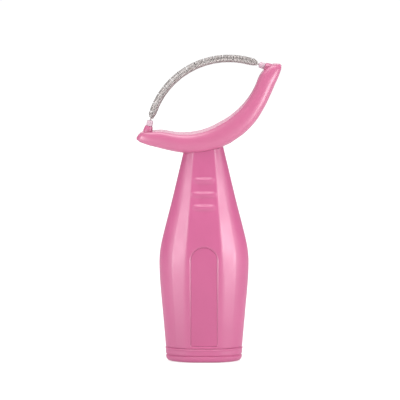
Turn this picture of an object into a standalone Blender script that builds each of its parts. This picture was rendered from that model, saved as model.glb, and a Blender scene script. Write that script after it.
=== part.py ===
"""Hand-held spring hair remover: a two-shell handle, a crescent bow and a rolling coil spring.

The handle stands on its flat base at the origin and rises along +Z, with its front towards -Y.
The bow sits on top, leaning to one side. The coil spring arches between two posts near the tips
of the bow and rolls about its own bent axis. Dimensions are millimetres; MM turns them to metres.
"""

import math

import bmesh
import bpy

MM = 0.001
WELD_DISTANCE = 0.002

# Handle outline: height, half width, front depth, rear depth, half width of the flat front face.
HANDLE_STATIONS = [
    (0.0, 18.2, 11.2, 10.5, 7.4),
    (7.0, 18.6, 11.6, 10.9, 7.7),
    (22.0, 19.9, 12.6, 11.8, 8.3),
    (38.0, 21.3, 13.1, 12.2, 8.8),
    (47.5, 21.75, 13.3, 12.4, 8.9),
    (53.0, 21.5, 13.2, 12.3, 8.8),
    (58.5, 20.6, 12.7, 11.9, 8.5),
    (68.0, 18.3, 11.4, 10.6, 7.7),
    (78.0, 15.75, 9.6, 9.0, 6.8),
    (90.0, 12.9, 7.6, 7.2, 5.8),
    (101.0, 10.3, 5.9, 5.7, 4.9),
    (112.0, 7.7, 4.9, 4.8, 4.1),
]
SHELL_WALL = 2.0
SHELL_GAP = 0.1
SHELL_TOP = 107.0
SEAM_GAP = 0.3
# Heights of the shells' rings between their ends, closer where the shoulder turns.
SHELL_ROWS = (
    14.0, 22.0, 30.0, 38.0, 43.0, 47.5, 51.0, 54.5, 58.5,
    63.0, 68.0, 73.0, 78.0, 84.0, 90.0, 96.0, 101.0, 104.0,
)

BASE_HEIGHT = 7.0
BASE_STEP_HEIGHT = 3.4
BASE_FLOOR = 2.2
BASE_WALL = 1.5
PLUG_TOP = 11.5
PLUG_CLEARANCE = 0.25

INLAY_HALF_WIDTH = 6.55
INLAY_BOTTOM = 8.0
INLAY_TOP = 57.1
INLAY_THICKNESS = 1.0
INLAY_GAP = 0.2
# Heights of the inlay's straight sides, and how far its arch is stepped.
INLAY_ROWS = (12.0, 20.0, 28.0, 36.0, 43.6)
INLAY_ARCH_TURN = math.radians(88.0)

RIB_HALF_WIDTHS = {90.3: 5.4, 83.5: 6.3, 77.3: 5.9}
RIB_HEIGHT = 1.2
RIB_HALF_THICKNESS = 1.3
RIB_ROOT = 0.9
RIB_END_SWELL = 0.2

LOWER_SCREW_X = 10.0
LOWER_SCREW_Z = 30.0
UPPER_SCREW_Z = 94.0
SCREW_RADIUS = 1.25
SCREW_PILOT_RADIUS = 1.4
SCREW_CLEAR_RADIUS = 1.6
SCREW_HEAD_RADIUS = 2.5
SCREW_HEAD_HEIGHT = 1.5
SCREW_BORE_RADIUS = 2.8
SCREW_RECESS_REACH = 1.4
SCREW_RECESS_HALF_WIDTH = 0.28
SCREW_RECESS_DEPTH = 0.9
LOWER_SEAT = 6.4
UPPER_SEAT = 4.4
SEAT_GAP = 0.05
LOWER_SCREW_LENGTH = 14.5
UPPER_SCREW_LENGTH = 9.6
LOWER_FRONT_BOSS_RADIUS = 2.7
UPPER_FRONT_BOSS_RADIUS = 3.2
LOWER_REAR_BOSS_RADIUS = 4.0
UPPER_REAR_BOSS_RADIUS = 3.8
LOWER_REAR_BOSS_TOP = 9.3
UPPER_REAR_BOSS_RISE = 0.7
# How far under the front face the front bosses start, and the floors of their blind holes.
LOWER_FRONT_BOSS_REACH = 2.7
UPPER_FRONT_BOSS_REACH = 0.8
LOWER_PILOT_FLOOR = 1.2
UPPER_PILOT_FLOOR = 0.3
COUNTERBORE_LENGTH = 9.0

# Frame of the bow: u runs along its chord, v towards the coil, y stays the depth axis.
HEAD_HEIGHT = 132.5
HEAD_TILT = math.radians(27.5)
DECK_RADIUS = 38.4
DECK_CENTRE_V = 20.6
# Inner face past its arc, under the posts: distance along the chord, height right, height left.
DECK_TIPS = [
    (24.0, -9.38, -10.17),
    (27.0, -6.75, -7.95),
    (30.0, -4.95, -6.5),
    (33.0, -4.2, -5.2),
    (35.4, -3.9, -4.3),
    (37.4, -4.4, -4.35),
    (38.8, -5.2, -5.1),
]
# Right half of the bow, middle to tip: deck u, keel u, keel v, half depth.
BOW_STATIONS = [
    (0.0, 0.0, -28.7, 8.2),
    (6.6, 8.4, -27.5, 8.1),
    (13.0, 16.2, -24.8, 7.8),
    (19.2, 23.2, -20.6, 7.2),
    (24.7, 28.9, -16.3, 6.5),
    (29.2, 32.8, -13.1, 5.7),
    (32.5, 35.5, -11.0, 5.0),
    (35.6, 37.6, -9.1, 4.1),
    (37.6, 38.9, -7.8, 3.1),
    (38.8, 39.4, -6.7, 1.9),
]
BOW_SHIFT_U = -0.5
# The left arm hangs a little lower than the right one, at its keel and at its inner face.
KEEL_SAG = 1.2
DECK_SAG = 0.85
BOW_TIP_U = 38.8
# Section of the bow from rim to keel: share of the half depth, share of the thickness.
BOW_SECTION = [
    (0.72, 0.0), (0.84, 0.07), (0.93, 0.17), (0.985, 0.30), (1.0, 0.44), (0.985, 0.58),
    (0.93, 0.71), (0.82, 0.83), (0.64, 0.92), (0.38, 0.98), (0.0, 1.0),
]
# Marks along the chord for the rings; the slab's and hollow's rings are shifted off the hull's.
BOW_MARKS = [4.0, 8.0, 12.0, 16.0, 19.5, 23.0, 26.0, 28.2, 29.8, 32.0, 34.2, 36.0, 37.6]
SLAB_SHIFT = 0.7
HOLLOW_SHIFT = -0.8
BOW_WALL = 1.5
BOW_SIDE_WALL = 2.6
RIM_WIDTH = 0.8
COVER_THICKNESS = 1.1
COVER_GAP = 0.2
COVER_BEVEL = 0.15
COVER_END_U = 36.4
CAVITY_END_U = 36.3
TANG_HALF_WIDTH = 4.4
TANG_HALF_DEPTH = 2.3
TANG_BOTTOM = 84.0
TANG_TOP = 105.5
TANG_CLEARANCE = 0.15
TANG_BEVEL = 0.6
NECK_GAP = 0.2

# Coil: close-wound wire on an arc, its two ends drawn in to cones around the spindles.
COIL_ARC_RADIUS = 39.0
COIL_CENTRE_V = -26.1
COIL_END_ANGLE = math.radians(48.0)
WIRE_DIAMETER = 0.60
COIL_RADIUS = 1.65
COIL_PITCH = 0.68
RUN_COUNT = 13
RUN_GAP = 0.14
END_GAP = 0.12
RUN_END_ANGLE = math.radians(3.0)
TURN_STEPS = 10

# Distances along a post's axis, from the deck towards the coil.
DECK_TO_ARC = 6.6
POST_BOTTOM = -1.2
POST_SHOULDER = -0.5
POST_TOP = 2.5
POST_ROOT_RADIUS = 2.25
POST_TOP_RADIUS = 1.9
POST_BORE_RADIUS = 1.25
SOCKET_BOTTOM = -1.6
SOCKET_TOP = 1.5
SOCKET_RADIUS = 2.45
BUSH_BOTTOM = -2.3
BUSH_SHOULDER = 2.65
BUSH_TOP = 5.4
BUSH_STEM_RADIUS = 1.1
BUSH_RADIUS = 1.6
BUSH_BORE_RADIUS = 0.52
SPINDLE_BOTTOM = -3.6
SPINDLE_RADIUS = 0.4
SPINDLE_HEAD_BOTTOM = 8.4
SPINDLE_HEAD_TOP = 9.3
SPINDLE_HEAD_RADIUS = 1.0
RETAINER_BOTTOM = -3.3
RETAINER_TOP = -2.9
RETAINER_RADIUS = 0.95
RETAINER_BORE_RADIUS = 0.45
CONE_START = 6.2
CONE_LENGTH = 2.3
CONE_SMALL_RADIUS = 0.82
END_RUN_TOP = 9.4

END_REACH = END_RUN_TOP - DECK_TO_ARC
RUN_SPAN = 2 * (COIL_END_ANGLE - END_REACH / COIL_ARC_RADIUS) / RUN_COUNT
RUN_LENGTH = 2 * COIL_ARC_RADIUS * math.sin(RUN_SPAN / 2)
RUN_TURN = math.tau * (RUN_LENGTH - RUN_GAP) / COIL_PITCH


def blend(table, key):
    """Reads a table of rows sorted by their first value, by a smooth curve through the rows."""
    last = len(table) - 1
    index = max(i for i in range(last) if table[i][0] <= max(key, table[0][0]))
    span = table[index + 1][0] - table[index][0]
    share = (key - table[index][0]) / span
    before = table[max(index - 1, 0)]
    low = table[index]
    high = table[index + 1]
    after = table[min(index + 2, last)]
    values = []
    for column in range(1, len(low)):
        rise_low = (high[column] - before[column]) / (high[0] - before[0]) * span
        rise_high = (after[column] - low[column]) / (after[0] - low[0]) * span
        values.append(
            low[column] * (2 * share**3 - 3 * share**2 + 1)
            + rise_low * (share**3 - 2 * share**2 + share)
            + high[column] * (3 * share**2 - 2 * share**3)
            + rise_high * (share**3 - share**2)
        )
    return values


def make_material(name, colour, roughness, metallic=0.0):
    material = bpy.data.materials.new(name)
    material.use_nodes = True
    shader = material.node_tree.nodes["Principled BSDF"]
    shader.inputs["Base Color"].default_value = (*colour, 1.0)
    shader.inputs["Roughness"].default_value = roughness
    shader.inputs["Metallic"].default_value = metallic
    return material


def make_object(name, points, faces, material=None):
    """Makes a closed mesh object from points in millimetres; finish() turns it to metres."""
    mesh = bpy.data.meshes.new(name)
    mesh.from_pydata(points, [], faces)
    shape = bmesh.new()
    shape.from_mesh(mesh)
    bmesh.ops.recalc_face_normals(shape, faces=shape.faces)
    bmesh.ops.triangulate(shape, faces=shape.faces)
    shape.to_mesh(mesh)
    shape.free()
    obj = bpy.data.objects.new(name, mesh)
    bpy.context.scene.collection.objects.link(obj)
    if material:
        mesh.materials.append(material)
    return obj


def loft(name, rings, material=None):
    """Skins a row of equal rings and closes both ends."""
    count = len(rings[0])
    points = [point for ring in rings for point in ring]
    faces = []
    for row in range(len(rings) - 1):
        for column in range(count):
            here = row * count + column
            beside = row * count + (column + 1) % count
            faces.append((here, beside, beside + count, here + count))
    faces.append(tuple(range(count)))
    faces.append(tuple(range((len(rings) - 1) * count, len(rings) * count)))
    return make_object(name, points, faces, material)


def combine(target, operation, *tools):
    """Applies one exact Boolean with all the tools, which don't touch each other, and removes them."""
    together = bmesh.new()
    for tool in tools:
        together.from_mesh(tool.data)
        bpy.data.objects.remove(tool)
    mesh = bpy.data.meshes.new("Tools")
    together.to_mesh(mesh)
    together.free()
    tool = bpy.data.objects.new("Tools", mesh)
    bpy.context.scene.collection.objects.link(tool)
    modifier = target.modifiers.new("Combine", "BOOLEAN")
    modifier.solver = "EXACT"
    modifier.operation = operation
    modifier.object = tool
    graph = bpy.context.evaluated_depsgraph_get()
    mesh = bpy.data.meshes.new_from_object(target.evaluated_get(graph))
    target.modifiers.clear()
    target.data = mesh
    bpy.data.objects.remove(tool)


def finish(obj, smooth_angle=35.0):
    """Welds stray points, drops slivers, scales to metres and shades the round faces smooth."""
    shape = bmesh.new()
    shape.from_mesh(obj.data)
    bmesh.ops.remove_doubles(shape, verts=shape.verts, dist=WELD_DISTANCE)
    bmesh.ops.dissolve_degenerate(shape, edges=shape.edges, dist=WELD_DISTANCE)
    bmesh.ops.triangulate(shape, faces=shape.faces)
    bmesh.ops.scale(shape, vec=(MM, MM, MM), verts=shape.verts)
    shape.to_mesh(obj.data)
    shape.free()
    obj.data.shade_smooth()
    obj.data.set_sharp_from_angle(angle=math.radians(smooth_angle))


def tube(name, start, axis, side, profile, sides, material=None):
    """Turns a closed profile of (distance along the axis, radius) pairs about an axis.

    A radius of zero closes the shape on the axis.
    """
    other = (
        axis[1] * side[2] - axis[2] * side[1],
        axis[2] * side[0] - axis[0] * side[2],
        axis[0] * side[1] - axis[1] * side[0],
    )
    points = []
    rows = []
    for distance, radius in profile:
        centre = [start[k] + axis[k] * distance for k in range(3)]
        if radius == 0:
            rows.append([len(points)] * sides)
            points.append(tuple(centre))
            continue
        rows.append(list(range(len(points), len(points) + sides)))
        for step in range(sides):
            angle = math.tau * step / sides
            across = radius * math.cos(angle)
            along = radius * math.sin(angle)
            points.append(tuple(centre[k] + side[k] * across + other[k] * along for k in range(3)))
    closed = profile[0][1] != 0 or profile[-1][1] != 0
    faces = []
    for index in range(len(rows) if closed else len(rows) - 1):
        low = rows[index]
        high = rows[(index + 1) % len(rows)]
        for step in range(sides):
            after = (step + 1) % sides
            corners = [low[step], low[after], high[after], high[step]]
            faces.append(tuple(dict.fromkeys(corners)))
    return make_object(name, points, faces, material)


# ---------------------------------------------------------------- handle

def inset(points, distance):
    """Moves an open outline inwards along its normals; its end points stay on the split plane."""
    moved = []
    for index, (x, y) in enumerate(points):
        if index in (0, len(points) - 1):
            moved.append((x - math.copysign(distance, x), y))
            continue
        run_x = points[index + 1][0] - points[index - 1][0]
        run_y = points[index + 1][1] - points[index - 1][1]
        length = math.hypot(run_x, run_y)
        normal_x = run_y / length
        normal_y = -run_x / length
        if normal_x * x + normal_y * y > 0:
            normal_x = -normal_x
            normal_y = -normal_y
        moved.append((x + normal_x * distance, y + normal_y * distance))
    return moved


def mirrored(half):
    """Completes a half outline that ends on the centre line."""
    return half + [(-x, y) for x, y in reversed(half[:-1])]


def front_outline(height):
    """Front of the handle from +X to -X: turned sides, slanted facets and a flat middle."""
    width, front, _, flat = blend(HANDLE_STATIONS, height)
    half = [
        (width, 0.0),
        (width * 0.985, front * 0.17),
        (width * 0.945, front * 0.34),
        (width * 0.88, front * 0.50),
        (width * 0.80, front * 0.63),
        (width * 0.71, front * 0.74),
        (flat + 0.7, front * 0.955),
        (flat - 0.5, front),
        (0.0, front),
    ]
    return [(x, -y) for x, y in mirrored(half)]


def rear_outline(height):
    """Rear of the handle from +X to -X, one full rounded curve."""
    width, _, rear, _ = blend(HANDLE_STATIONS, height)
    half = []
    for step in range(9):
        angle = math.pi / 2 * step / 8
        half.append((width * math.cos(angle) ** 0.8, rear * math.sin(angle) ** 0.8))
    half[-1] = (0.0, rear)
    return mirrored(half)


def make_shell(name, outline, side, material):
    """One half of the handle as a C-shaped wall."""
    rings = []
    for height in (BASE_HEIGHT + SEAM_GAP, *SHELL_ROWS, SHELL_TOP):
        outer = outline(height)
        inner = inset(outer, SHELL_WALL)
        ring = [(x, y + side * SHELL_GAP, height) for x, y in outer]
        ring += [(x, y + side * SHELL_GAP, height) for x, y in reversed(inner)]
        rings.append(ring)
    count = len(rings[0])
    half = count // 2
    points = [point for ring in rings for point in ring]
    faces = []
    for row in range(len(rings) - 1):
        for column in range(count):
            here = row * count + column
            beside = row * count + (column + 1) % count
            faces.append((here, beside, beside + count, here + count))
    for first in (0, (len(rings) - 1) * count):
        for column in range(half - 1):
            inner_here = first + count - 1 - column
            faces.append((first + column, first + column + 1, inner_here - 1, inner_here))
    return make_object(name, points, faces, material)


def boss(x, height, start, end, radius, sides=20):
    """A cylinder along the depth axis between two depths."""
    profile = [(start, 0), (start, radius), (end, radius), (end, 0)]
    return tube("Boss", (x, 0.0, height), (0, 1, 0), (1, 0, 0), profile, sides)


def front_depth(height):
    return blend(HANDLE_STATIONS, height)[1] - SHELL_GAP


def inlay_solid(name, grow, low, high, material=None):
    """The U-shaped plate between two depths under the front face, grown on its outline."""
    half = INLAY_HALF_WIDTH - INLAY_GAP + grow
    bottom = INLAY_BOTTOM + INLAY_GAP - grow
    arch = INLAY_TOP - INLAY_HALF_WIDTH
    rows = [(bottom, half)]
    rows += [(height, half) for height in INLAY_ROWS]
    for step in range(9):
        angle = INLAY_ARCH_TURN * step / 8
        rows.append((arch + half * math.sin(angle), half * math.cos(angle)))
    rings = []
    for height, reach in rows:
        outer = -front_depth(height) - high
        inner = -front_depth(height) - low
        rings.append([
            (-reach, outer, height), (reach, outer, height),
            (reach, inner, height), (-reach, inner, height),
        ])
    return loft(name, rings, material)


def rib_solid(height, half_width):
    """A thumb rib: a low bar across the front that tapers to both ends."""
    surface = -front_depth(height)
    rings = []
    steps = 10
    for step in range(steps + 1):
        share = 2.0 * step / steps - 1.0
        swell = (1.0 - abs(share) ** 3) ** 0.5 * (1.0 - RIB_END_SWELL) + RIB_END_SWELL
        ring = []
        for corner in range(7):
            angle = math.pi * corner / 6
            across = RIB_HALF_THICKNESS * swell * math.cos(angle)
            out = RIB_HEIGHT * swell * math.sin(angle)
            lean = front_depth(height + across) - front_depth(height)
            ring.append((half_width * share, surface - out - lean, height + across))
        ring.append((half_width * share, surface + RIB_ROOT, height - RIB_HALF_THICKNESS * swell))
        ring.append((half_width * share, surface + RIB_ROOT, height + RIB_HALF_THICKNESS * swell))
        rings.append(ring)
    return loft("Rib", rings)


def make_front_shell(material):
    """Front half: ribs and bosses moulded on, with blind pilot holes and the inlay's pocket."""
    shell = make_shell("front_shell", front_outline, -1, material)
    added = [rib_solid(height, half_width) for height, half_width in RIB_HALF_WIDTHS.items()]
    cut = [inlay_solid("Pocket", INLAY_GAP, -INLAY_THICKNESS - INLAY_GAP, 1.0), bow_solid(NECK_GAP)]
    for x in (-LOWER_SCREW_X, LOWER_SCREW_X):
        end = LOWER_FRONT_BOSS_REACH - front_depth(LOWER_SCREW_Z)
        added.append(boss(x, LOWER_SCREW_Z, end, -SHELL_GAP, LOWER_FRONT_BOSS_RADIUS))
        cut.append(boss(x, LOWER_SCREW_Z, end + LOWER_PILOT_FLOOR, 1.0, SCREW_PILOT_RADIUS))
    end = UPPER_FRONT_BOSS_REACH - front_depth(UPPER_SCREW_Z)
    added.append(boss(0, UPPER_SCREW_Z, end, -TANG_HALF_DEPTH - TANG_CLEARANCE, UPPER_FRONT_BOSS_RADIUS))
    cut.append(boss(0, UPPER_SCREW_Z, end + UPPER_PILOT_FLOOR, 0.0, SCREW_PILOT_RADIUS))
    combine(shell, "UNION", *added)
    combine(shell, "DIFFERENCE", *cut)
    finish(shell)


def screw_hole(x, height, seat):
    """Clearance hole and counterbore of a screw, as one turned cutter."""
    profile = [
        (-1.0, 0), (-1.0, SCREW_CLEAR_RADIUS), (seat, SCREW_CLEAR_RADIUS),
        (seat, SCREW_BORE_RADIUS), (seat + COUNTERBORE_LENGTH, SCREW_BORE_RADIUS),
        (seat + COUNTERBORE_LENGTH, 0),
    ]
    return tube("Hole", (x, 0.0, height), (0, 1, 0), (1, 0, 0), profile, 20)


def make_rear_shell(material):
    """Rear half: bosses moulded on, with a counterbored hole for each screw."""
    shell = make_shell("rear_shell", rear_outline, 1, material)
    added = []
    cut = [screw_hole(0, UPPER_SCREW_Z, UPPER_SEAT), bow_solid(NECK_GAP)]
    for x in (-LOWER_SCREW_X, LOWER_SCREW_X):
        added.append(boss(x, LOWER_SCREW_Z, SHELL_GAP, LOWER_REAR_BOSS_TOP, LOWER_REAR_BOSS_RADIUS))
        cut.append(screw_hole(x, LOWER_SCREW_Z, LOWER_SEAT))
    start = TANG_HALF_DEPTH + TANG_CLEARANCE
    top = UPPER_SEAT + UPPER_REAR_BOSS_RISE
    added.append(boss(0, UPPER_SCREW_Z, start, top, UPPER_REAR_BOSS_RADIUS))
    combine(shell, "UNION", *added)
    combine(shell, "DIFFERENCE", *cut)
    finish(shell)


def full_ring(height, distance):
    """The whole outline of the handle at one height, moved in by a distance."""
    front = inset(front_outline(height), distance)
    rear = inset(rear_outline(height), distance)
    return [(x, y, height) for x, y in front + list(reversed(rear[1:-1]))]


def make_base_cap(material):
    """Foot of the handle: a stepped, rounded band with a skirt that plugs into the shells."""
    profile = [
        (0.0, 2.5), (0.2, 1.6), (0.8, 0.85), (1.7, 0.4), (BASE_STEP_HEIGHT - 0.1, 0.25),
        (BASE_STEP_HEIGHT, 0.0), (BASE_HEIGHT - 0.25, 0.0), (BASE_HEIGHT, 0.25),
    ]
    rings = []
    for height, distance in profile:
        rings.append([(x, y, height) for x, y, _ in full_ring(BASE_HEIGHT, distance)])
    plug_inset = SHELL_WALL + PLUG_CLEARANCE
    rings.append([(x, y, BASE_HEIGHT) for x, y, _ in full_ring(BASE_HEIGHT, plug_inset)])
    rings.append([(x, y, PLUG_TOP) for x, y, _ in full_ring(BASE_HEIGHT, plug_inset + 0.2)])
    hollow = plug_inset + BASE_WALL
    rings.append([(x, y, PLUG_TOP) for x, y, _ in full_ring(BASE_HEIGHT, hollow + 0.1)])
    rings.append([(x, y, BASE_FLOOR) for x, y, _ in full_ring(BASE_HEIGHT, hollow)])
    finish(loft("base_cap", rings, material))


def make_screw(name, x, height, seat, length, material):
    """Pan-head self-tapping screw with a cross recess, driven from the rear."""
    seat += SEAT_GAP
    profile = [
        (seat - length, 0), (seat - length + 1.0, SCREW_RADIUS * 0.6),
        (seat - length + 2.2, SCREW_RADIUS), (seat, SCREW_RADIUS), (seat, SCREW_HEAD_RADIUS),
        (seat + SCREW_HEAD_HEIGHT * 0.5, SCREW_HEAD_RADIUS),
        (seat + SCREW_HEAD_HEIGHT * 0.9, SCREW_HEAD_RADIUS * 0.72), (seat + SCREW_HEAD_HEIGHT, 0),
    ]
    screw = tube(name, (x, 0.0, height), (0, 1, 0), (1, 0, 0), profile, 16, material)
    top = seat + SCREW_HEAD_HEIGHT
    long = SCREW_RECESS_REACH
    thin = SCREW_RECESS_HALF_WIDTH
    for half_x, half_z in ((long, thin), (thin, long)):
        ring = [(-half_x, -half_z), (half_x, -half_z), (half_x, half_z), (-half_x, half_z)]
        rings = []
        for depth in (top - SCREW_RECESS_DEPTH, top + 1.0):
            rings.append([(x + dx, depth, height + dz) for dx, dz in ring])
        combine(screw, "DIFFERENCE", loft("Recess", rings))
    finish(screw)


# ---------------------------------------------------------------- bow

def place(u, v, y):
    """Turns a point in the frame of the bow to the frame of the part."""
    cosine = math.cos(HEAD_TILT)
    sine = math.sin(HEAD_TILT)
    return (u * cosine - v * sine, y, HEAD_HEIGHT + u * sine + v * cosine)


def turn(u, v):
    """Turns a direction in the frame of the bow to the frame of the part."""
    cosine = math.cos(HEAD_TILT)
    sine = math.sin(HEAD_TILT)
    return (u * cosine - v * sine, 0.0, u * sine + v * cosine)


def deck_height(u):
    """Height of the inner face: an arc in the middle, then a shape that carries the posts."""
    reach = abs(u)
    if reach > DECK_TIPS[0][0]:
        right, left = blend(DECK_TIPS, reach)
        return right if u > 0 else left
    arc = DECK_CENTRE_V - math.sqrt(DECK_RADIUS**2 - reach**2)
    return arc - left_sag(u, DECK_SAG)


def left_sag(u, most):
    """How much lower the left arm hangs at a distance along the chord."""
    return most * math.sin(math.pi * -u / BOW_TIP_U) if u < 0 else 0.0


def bow_station(u):
    """One section plane of the bow, at a signed distance along its chord.

    Gives the deck point, the direction to the keel, the thickness and the half depth.
    """
    keel_u, keel_v, depth = blend(BOW_STATIONS, abs(u))
    deck_u = u + BOW_SHIFT_U
    deck_v = deck_height(u)
    across_u = math.copysign(keel_u, u) + BOW_SHIFT_U - deck_u
    across_v = keel_v - left_sag(u, KEEL_SAG) - deck_v
    thickness = math.hypot(across_u, across_v)
    return (deck_u, deck_v), (across_u / thickness, across_v / thickness), thickness, depth


def section_point(deck, run, distance, y):
    """A point of a section plane at a distance from the deck towards the keel."""
    return place(deck[0] + run[0] * distance, deck[1] + run[1] * distance, y)


def bow_ring(u, top, bottom, shrink):
    """A section of the bow between a distance under the deck and one above the keel."""
    deck, run, thickness, depth = bow_station(u)
    half = []
    for share, level in BOW_SECTION:
        half.append((top + (thickness - bottom - top) * level, (depth - shrink) * share))
    ring = [section_point(deck, run, distance, -y) for distance, y in half]
    ring += [section_point(deck, run, distance, y) for distance, y in reversed(half[:-1])]
    return ring


def spread(end, shift=0.0):
    """Signed distances along the chord; a shift keeps one solid's rings off another's."""
    side = [mark + shift for mark in BOW_MARKS if mark + shift < end - 0.5] + [end]
    return [-mark for mark in reversed(side)] + [shift / 2] + side


def bow_solid(grow):
    """The whole outside of the bow as one solid, grown on every side."""
    return loft("Bow", [bow_ring(u, -grow, -grow, -grow) for u in spread(BOW_TIP_U)])


def recess_half_width(depth):
    """Half width of the recess in the inner face, which leaves a rim on both sides."""
    return depth * BOW_SECTION[0][0] - RIM_WIDTH


def deck_slab(end, low, high):
    """The recess for the cover: a strip along the deck between two distances under it."""
    rings = []
    for u in spread(end, SLAB_SHIFT):
        deck, run, _, depth = bow_station(u)
        half = recess_half_width(depth)
        corners = [(low, -half), (high, -half), (high, half), (low, half)]
        rings.append([section_point(deck, run, distance, y) for distance, y in corners])
    return loft("Slab", rings)


def tang_solid():
    """The tongue under the bow that the neck of the handle closes around."""
    width = TANG_HALF_WIDTH
    depth = TANG_HALF_DEPTH
    bevel = TANG_BEVEL
    corners = [
        (-width, -depth + bevel), (-width + bevel, -depth), (width - bevel, -depth),
        (width, -depth + bevel), (width, depth - bevel), (width - bevel, depth),
        (-width + bevel, depth), (-width, depth - bevel),
    ]
    return loft("Tang", [[(x, y, z) for x, y in corners] for z in (TANG_BOTTOM, TANG_TOP)])


def make_bow_hull(material):
    """Hollow body of the bow: a recess for the cover, a notch for each post, and the tang."""
    hull = bow_solid(0.0)
    hull.name = "bow_hull"
    hull.data.materials.append(material)
    step = COVER_THICKNESS + COVER_GAP
    combine(hull, "DIFFERENCE", deck_slab(COVER_END_U + COVER_GAP, -3.0, step))
    hollow = []
    for u in spread(CAVITY_END_U, HOLLOW_SHIFT):
        hollow.append(bow_ring(u, step - 1.0, BOW_WALL, BOW_SIDE_WALL))
    combine(hull, "DIFFERENCE", loft("Hollow", hollow))
    socket = [
        (SOCKET_BOTTOM, 0), (SOCKET_BOTTOM, SOCKET_RADIUS), (SOCKET_TOP, SOCKET_RADIUS), (SOCKET_TOP, 0),
    ]
    combine(hull, "DIFFERENCE", *[lathe("Socket", side, socket, 20) for side in (-1, 1)])
    combine(hull, "UNION", tang_solid())
    combine(hull, "DIFFERENCE", boss(0, UPPER_SCREW_Z, -5.0, 5.0, SCREW_CLEAR_RADIUS))
    finish(hull)


def post_frame(side):
    """Foot of a post's axis on the deck, the axis direction and a direction across it."""
    sine = math.sin(COIL_END_ANGLE)
    cosine = math.cos(COIL_END_ANGLE)
    arc_u = side * COIL_ARC_RADIUS * sine
    arc_v = COIL_CENTRE_V + COIL_ARC_RADIUS * cosine
    foot = place(arc_u + side * cosine * DECK_TO_ARC, arc_v - sine * DECK_TO_ARC, 0.0)
    return foot, turn(-side * cosine, sine), (0.0, 1.0, 0.0)


def lathe(name, side, profile, sides, material=None):
    foot, axis, across = post_frame(side)
    return tube(name, foot, axis, across, profile, sides, material)


def make_deck_cover(material):
    """Cover on the inner face of the bow, with a bored stub for each post."""
    rings = []
    for u in spread(COVER_END_U, SLAB_SHIFT):
        deck, run, _, depth = bow_station(u)
        width = recess_half_width(depth) - COVER_GAP
        half = [(0.0, width - COVER_BEVEL), (COVER_BEVEL, width), (COVER_THICKNESS, width)]
        corners = half + [(distance, -y) for distance, y in reversed(half)]
        rings.append([section_point(deck, run, distance, y) for distance, y in corners])
    cover = loft("deck_cover", rings, material)
    stub = [
        (POST_BOTTOM, 0), (POST_BOTTOM, POST_TOP_RADIUS), (POST_SHOULDER, POST_ROOT_RADIUS),
        (POST_TOP, POST_TOP_RADIUS), (POST_TOP, 0),
    ]
    bore = [
        (POST_BOTTOM - 2.0, 0), (POST_BOTTOM - 2.0, POST_BORE_RADIUS),
        (POST_TOP + 1.0, POST_BORE_RADIUS), (POST_TOP + 1.0, 0),
    ]
    combine(cover, "UNION", *[lathe("Stub", side, stub, 20) for side in (-1, 1)])
    combine(cover, "DIFFERENCE", *[lathe("Bore", side, bore, 20) for side in (-1, 1)])
    finish(cover)


def make_bush(name, side, material):
    profile = [
        (BUSH_BOTTOM, BUSH_BORE_RADIUS), (BUSH_BOTTOM, BUSH_STEM_RADIUS),
        (BUSH_SHOULDER, BUSH_STEM_RADIUS), (BUSH_SHOULDER, BUSH_RADIUS),
        (BUSH_TOP - 0.5, BUSH_RADIUS * 0.95), (BUSH_TOP - 0.15, BUSH_RADIUS * 0.8),
        (BUSH_TOP, BUSH_RADIUS * 0.6), (BUSH_TOP, BUSH_BORE_RADIUS),
    ]
    finish(lathe(name, side, profile, 20, material))


def make_spindle(name, side, material):
    profile = [
        (SPINDLE_BOTTOM, 0), (SPINDLE_BOTTOM, SPINDLE_RADIUS * 0.7),
        (SPINDLE_BOTTOM + 0.2, SPINDLE_RADIUS), (SPINDLE_HEAD_BOTTOM, SPINDLE_RADIUS),
        (SPINDLE_HEAD_BOTTOM, SPINDLE_HEAD_RADIUS), (SPINDLE_HEAD_TOP, SPINDLE_HEAD_RADIUS),
        (SPINDLE_HEAD_TOP, 0),
    ]
    finish(lathe(name, side, profile, 12, material))


def make_retainer(name, side, material):
    profile = [
        (RETAINER_BOTTOM, RETAINER_BORE_RADIUS), (RETAINER_BOTTOM, RETAINER_RADIUS),
        (RETAINER_TOP, RETAINER_RADIUS), (RETAINER_TOP, RETAINER_BORE_RADIUS),
    ]
    finish(lathe(name, side, profile, 16, material))


# ---------------------------------------------------------------- coil

def wire(name, centre, axis, across, stations, material):
    """A square-section wire through stations of (distance along the axis, radius, angle)."""
    other = (
        axis[1] * across[2] - axis[2] * across[1],
        axis[2] * across[0] - axis[0] * across[2],
        axis[0] * across[1] - axis[1] * across[0],
    )
    half = WIRE_DIAMETER / 2
    rings = []
    for distance, radius, angle in stations:
        ring = []
        for shift, swell in ((half, 0.0), (0.0, half), (-half, 0.0), (0.0, -half)):
            reach = radius + swell
            ring.append(tuple(
                centre[k] + axis[k] * (distance + shift)
                + (across[k] * math.cos(angle) + other[k] * math.sin(angle)) * reach
                for k in range(3)
            ))
        rings.append(ring)
    return loft(name, rings, material)


def run_frame(angle):
    """Centre, axis and cross direction of a straight run whose middle is at an angle on the arc."""
    half_span = RUN_SPAN / 2
    reach = COIL_ARC_RADIUS * math.cos(half_span)
    centre = place(reach * math.sin(angle), COIL_CENTRE_V + reach * math.cos(angle), 0.0)
    return centre, turn(math.cos(angle), -math.sin(angle)), (0.0, -1.0, 0.0)


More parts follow.
